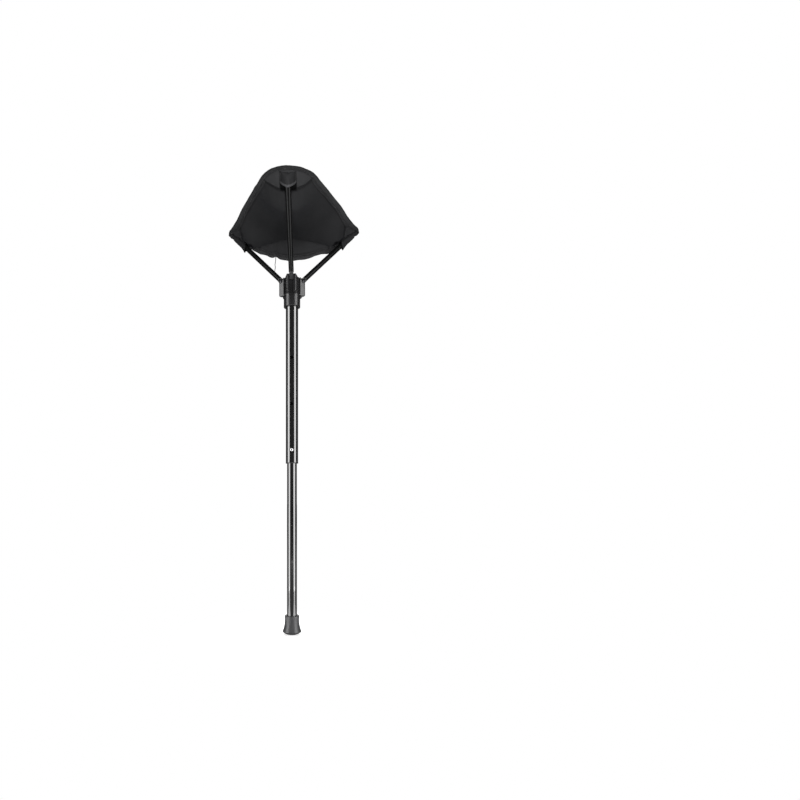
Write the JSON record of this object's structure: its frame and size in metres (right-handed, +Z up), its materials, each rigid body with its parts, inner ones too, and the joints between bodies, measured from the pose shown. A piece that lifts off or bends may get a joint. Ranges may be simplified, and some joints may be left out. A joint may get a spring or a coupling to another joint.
{
  "type": "collapsible telescopic stool",
  "caption": "One-legged folding stool: a two-stage telescopic tube leg with a spring-button lock, a hub with three folding arms and a triangular cloth seat.",
  "frame": {"origin": "on the leg's axis at the ground, under the rubber foot", "axes": "+Z up along the leg, the front arm points along -Y, +X is to the right of a viewer who faces the front arm"},
  "size_m": [0.2754, 0.2451, 0.8451],
  "materials": {
    "black_tube": "gloss black enamel",
    "arm_tube": "satin black enamel",
    "hub_plastic": "semi-gloss moulded dark grey",
    "plug_plastic": "satin black",
    "bush_plastic": "satin dark grey",
    "foot_rubber": "matt grey",
    "bright_steel": "zinc plated",
    "rivet_steel": "blackened",
    "button_chrome": "polished",
    "seat_cloth": "woven charcoal polyester"
  },
  "bodies": {
    "upper_leg": {"upper_tube": "black_tube", "mouth_bush": "bush_plastic", "hub": "hub_plastic", "hub_rivets": "rivet_steel", "arm_front_pivot_rivet": "rivet_steel", "arm_left_pivot_rivet": "rivet_steel", "arm_right_pivot_rivet": "rivet_steel", "seat_panel": "seat_cloth", "seat_hem": "seat_cloth", "seat_patch_front": "seat_cloth", "seat_patch_left": "seat_cloth", "seat_patch_right": "seat_cloth"},
    "lower_leg": {"lower_tube": "black_tube", "tube_guide": "bush_plastic", "button_spring": "bright_steel", "foot_washer": "bright_steel", "rubber_foot": "foot_rubber"},
    "button": {"snap_button": "button_chrome"},
    "front_arm": {"arm_front_root_plug": "plug_plastic", "arm_front_tube": "arm_tube", "arm_front_tip_cap": "plug_plastic", "seat_pocket_front": "seat_cloth"},
    "left_arm": {"arm_left_root_plug": "plug_plastic", "arm_left_tube": "arm_tube", "arm_left_tip_cap": "plug_plastic", "seat_pocket_left": "seat_cloth"},
    "right_arm": {"arm_right_root_plug": "plug_plastic", "arm_right_tube": "arm_tube", "arm_right_tip_cap": "plug_plastic", "seat_pocket_right": "seat_cloth"}
  },
  "joints": [
    {"name": "leg_slide", "type": "slide", "parent": "upper_leg", "child": "lower_leg", "axis": [0, 0, 1], "range_m": [0, 0.215], "deforming": ["snap_button"]},
    {"name": "button_press", "type": "slide", "parent": "lower_leg", "child": "button", "axis": [0, 1, 0], "range_m": [0, 0.0029], "stiffness_N_per_m": 900, "springref_m": -0.004, "deforming": ["button_spring"]},
    {"name": "front_arm_fold", "type": "hinge", "parent": "upper_leg", "child": "front_arm", "pos_m": [0, -0.02, 0.706], "axis": [-1, 0, 0], "range_deg": [0, 45], "deforming": ["seat_panel", "seat_hem", "seat_patch_front"]},
    {"name": "left_arm_fold", "type": "hinge", "parent": "upper_leg", "child": "left_arm", "pos_m": [-0.01732, 0.01, 0.706], "axis": [0.5, 0.866, 0], "range_deg": [0, 45], "deforming": ["seat_patch_left"]},
    {"name": "right_arm_fold", "type": "hinge", "parent": "upper_leg", "child": "right_arm", "pos_m": [0.01732, 0.01, 0.706], "axis": [0.5, -0.866, 0], "range_deg": [0, 45], "deforming": ["seat_patch_right"]}
  ]
}
